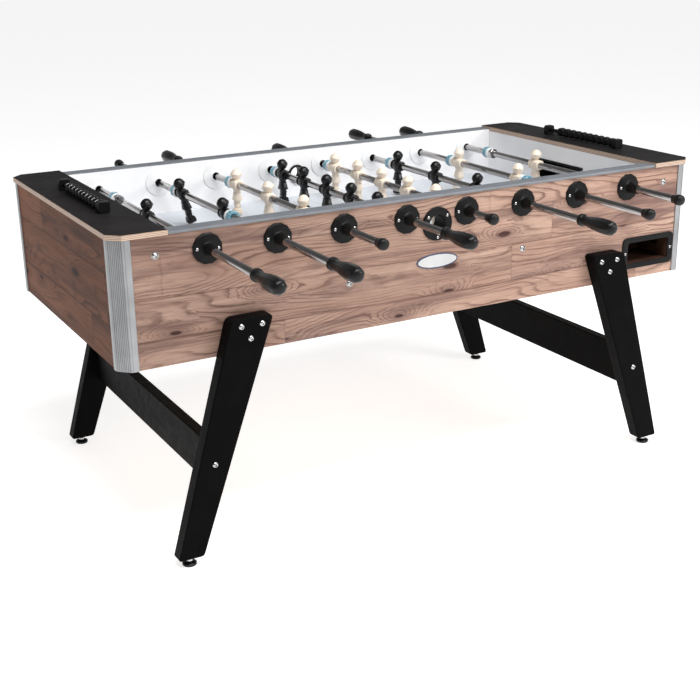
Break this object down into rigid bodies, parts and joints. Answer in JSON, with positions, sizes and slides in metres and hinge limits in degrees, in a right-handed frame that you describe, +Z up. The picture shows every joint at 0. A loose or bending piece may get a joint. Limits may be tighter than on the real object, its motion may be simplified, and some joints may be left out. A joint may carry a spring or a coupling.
{
  "type": "foosball table",
  "caption": "Table football game: wood-look cabinet on splayed legs, with sliding and turning player rods, score counters, ball entry cups and ball return trays.",
  "frame": {"origin": "on the floor, under the middle of the table", "axes": "+X along the table towards the ball return on the front side, +Y across it towards the rear, +Z up"},
  "size_m": [1.439, 1.372, 0.7245],
  "materials": {
    "pine_laminate": "satin printed pine laminate with knots",
    "white_laminate": "smooth white laminate",
    "black_board": "matte charcoal laminate with a tan wood edge",
    "aluminium_trim": "ribbed satin extrusion",
    "slate_rail": "satin slate grey",
    "black_plastic": "moulded, lightly textured",
    "black_wood": "satin black lacquer with eased edges",
    "black_rubber": "soft matte grip",
    "blue_plastic": "translucent soft bumper",
    "chrome_rod": "polished tube",
    "cream_plastic": "moulded player",
    "white_plastic": "moulded ring"
  },
  "bodies": {
    "table": {"front_panel": "pine_laminate", "rear_panel": "pine_laminate", "left_end_panel": "pine_laminate", "right_end_panel": "pine_laminate", "bottom_board": "pine_laminate", "left_goal_chute": "pine_laminate", "right_goal_chute": "pine_laminate", "playfield": "white_laminate", "left_goal_wall": "white_laminate", "right_goal_wall": "white_laminate", "left_top_board": "black_board", "right_top_board": "black_board", "corner_trim_front_left": "aluminium_trim", "corner_trim_front_right": "aluminium_trim", "corner_trim_rear_left": "aluminium_trim", "corner_trim_rear_right": "aluminium_trim", "front_rail": "slate_rail", "rear_rail": "slate_rail", "front_ball_entry_cup": "black_plastic", "rear_ball_entry_cup": "black_plastic", "front_ball_return_tray": "black_plastic", "rear_ball_return_tray": "black_plastic", "score_bar_left": "black_plastic", "score_bar_right": "black_plastic", "leg_front_left": "black_wood", "leg_front_right": "black_wood", "leg_rear_left": "black_wood", "leg_rear_right": "black_wood", "stretcher_left": "black_wood", "stretcher_right": "black_wood"},
    "rod_1_bumper": {"rod_1_bumper": "blue_plastic"},
    "rod_1": {"rod_1": "chrome_rod", "rod_1_handle": "black_rubber"},
    "rod_2_bumper": {"rod_2_bumper": "blue_plastic"},
    "rod_2": {"rod_2": "chrome_rod", "rod_2_handle": "black_rubber"},
    "rod_3_bumper": {"rod_3_bumper": "blue_plastic"},
    "rod_3": {"rod_3": "chrome_rod", "rod_3_handle": "black_rubber"},
    "rod_4_bumper": {"rod_4_bumper": "blue_plastic"},
    "rod_4": {"rod_4": "chrome_rod", "rod_4_handle": "black_rubber"},
    "rod_5_bumper": {"rod_5_bumper": "blue_plastic"},
    "rod_5": {"rod_5": "chrome_rod", "rod_5_handle": "black_rubber"},
    "rod_6_bumper": {"rod_6_bumper": "blue_plastic"},
    "rod_6": {"rod_6": "chrome_rod", "rod_6_handle": "black_rubber"},
    "rod_7_bumper": {"rod_7_bumper": "blue_plastic"},
    "rod_7": {"rod_7": "chrome_rod", "rod_7_handle": "black_rubber"},
    "rod_8_bumper": {"rod_8_bumper": "blue_plastic"},
    "rod_8": {"rod_8": "chrome_rod", "rod_8_handle": "black_rubber"},
    "score_beads_left": {"score_beads_left": "black_plastic"},
    "score_beads_right": {"score_beads_right": "black_plastic"},
    "levelling_foot_front_left": {"levelling_foot_front_left": "black_rubber"},
    "levelling_foot_front_right": {"levelling_foot_front_right": "black_rubber"},
    "levelling_foot_rear_left": {"levelling_foot_rear_left": "black_rubber"},
    "levelling_foot_rear_right": {"levelling_foot_rear_right": "black_rubber"}
  },
  "joints": [
    {"name": "rod_1_slide", "type": "slide", "parent": "table", "child": "rod_1_bumper", "axis": [0, 1, 0], "range_m": [-0.0715, 0.1055]},
    {"name": "rod_1_spin", "type": "hinge", "parent": "rod_1_bumper", "child": "rod_1", "pos_m": [-0.525, -0.017, 0.652], "axis": [0, 1, 0], "continuous": true},
    {"name": "rod_2_slide", "type": "slide", "parent": "table", "child": "rod_2_bumper", "axis": [0, 1, 0], "range_m": [-0.1705, 0.1045]},
    {"name": "rod_2_spin", "type": "hinge", "parent": "rod_2_bumper", "child": "rod_2", "pos_m": [-0.375, 0.033, 0.652], "axis": [0, 1, 0], "continuous": true},
    {"name": "rod_3_slide", "type": "slide", "parent": "table", "child": "rod_3_bumper", "axis": [0, 1, 0], "range_m": [-0.0955, 0.0775]},
    {"name": "rod_3_spin", "type": "hinge", "parent": "rod_3_bumper", "child": "rod_3", "pos_m": [-0.225, 0.009, 0.652], "axis": [0, 1, 0], "continuous": true},
    {"name": "rod_4_slide", "type": "slide", "parent": "table", "child": "rod_4_bumper", "axis": [0, 1, 0], "range_m": [-0.0375, 0.0215]},
    {"name": "rod_4_spin", "type": "hinge", "parent": "rod_4_bumper", "child": "rod_4", "pos_m": [-0.075, 0.008, 0.652], "axis": [0, 1, 0], "continuous": true},
    {"name": "rod_5_slide", "type": "slide", "parent": "table", "child": "rod_5_bumper", "axis": [0, 1, 0], "range_m": [-0.0375, 0.0215]},
    {"name": "rod_5_spin", "type": "hinge", "parent": "rod_5_bumper", "child": "rod_5", "pos_m": [0.075, 0.008, 0.652], "axis": [0, 1, 0], "continuous": true},
    {"name": "rod_6_slide", "type": "slide", "parent": "table", "child": "rod_6_bumper", "axis": [0, 1, 0], "range_m": [-0.0915, 0.0815]},
    {"name": "rod_6_spin", "type": "hinge", "parent": "rod_6_bumper", "child": "rod_6", "pos_m": [0.225, 0.005, 0.652], "axis": [0, 1, 0], "continuous": true},
    {"name": "rod_7_slide", "type": "slide", "parent": "table", "child": "rod_7_bumper", "axis": [0, 1, 0], "range_m": [-0.1365, 0.1385]},
    {"name": "rod_7_spin", "type": "hinge", "parent": "rod_7_bumper", "child": "rod_7", "pos_m": [0.375, -0.001, 0.652], "axis": [0, 1, 0], "continuous": true},
    {"name": "rod_8_slide", "type": "slide", "parent": "table", "child": "rod_8_bumper", "axis": [0, 1, 0], "range_m": [-0.0865, 0.0905]},
    {"name": "rod_8_spin", "type": "hinge", "parent": "rod_8_bumper", "child": "rod_8", "pos_m": [0.525, -0.002, 0.652], "axis": [0, 1, 0], "continuous": true},
    {"name": "score_beads_left_slide", "type": "slide", "parent": "table", "child": "score_beads_left", "axis": [0, 1, 0], "range_m": [0, 0.0352]},
    {"name": "score_beads_right_slide", "type": "slide", "parent": "table", "child": "score_beads_right", "axis": [0, 1, 0], "range_m": [0, 0.0352]},
    {"name": "levelling_foot_front_left_turn", "type": "hinge", "parent": "table", "child": "levelling_foot_front_left", "pos_m": [-0.609, -0.3643, 0], "axis": [0, 0, 1], "continuous": true},
    {"name": "levelling_foot_front_right_turn", "type": "hinge", "parent": "table", "child": "levelling_foot_front_right", "pos_m": [0.609, -0.3643, 0], "axis": [0, 0, 1], "continuous": true},
    {"name": "levelling_foot_rear_left_turn", "type": "hinge", "parent": "table", "child": "levelling_foot_rear_left", "pos_m": [-0.609, 0.3643, 0], "axis": [0, 0, 1], "continuous": true},
    {"name": "levelling_foot_rear_right_turn", "type": "hinge", "parent": "table", "child": "levelling_foot_rear_right", "pos_m": [0.609, 0.3643, 0], "axis": [0, 0, 1], "continuous": true}
  ]
}
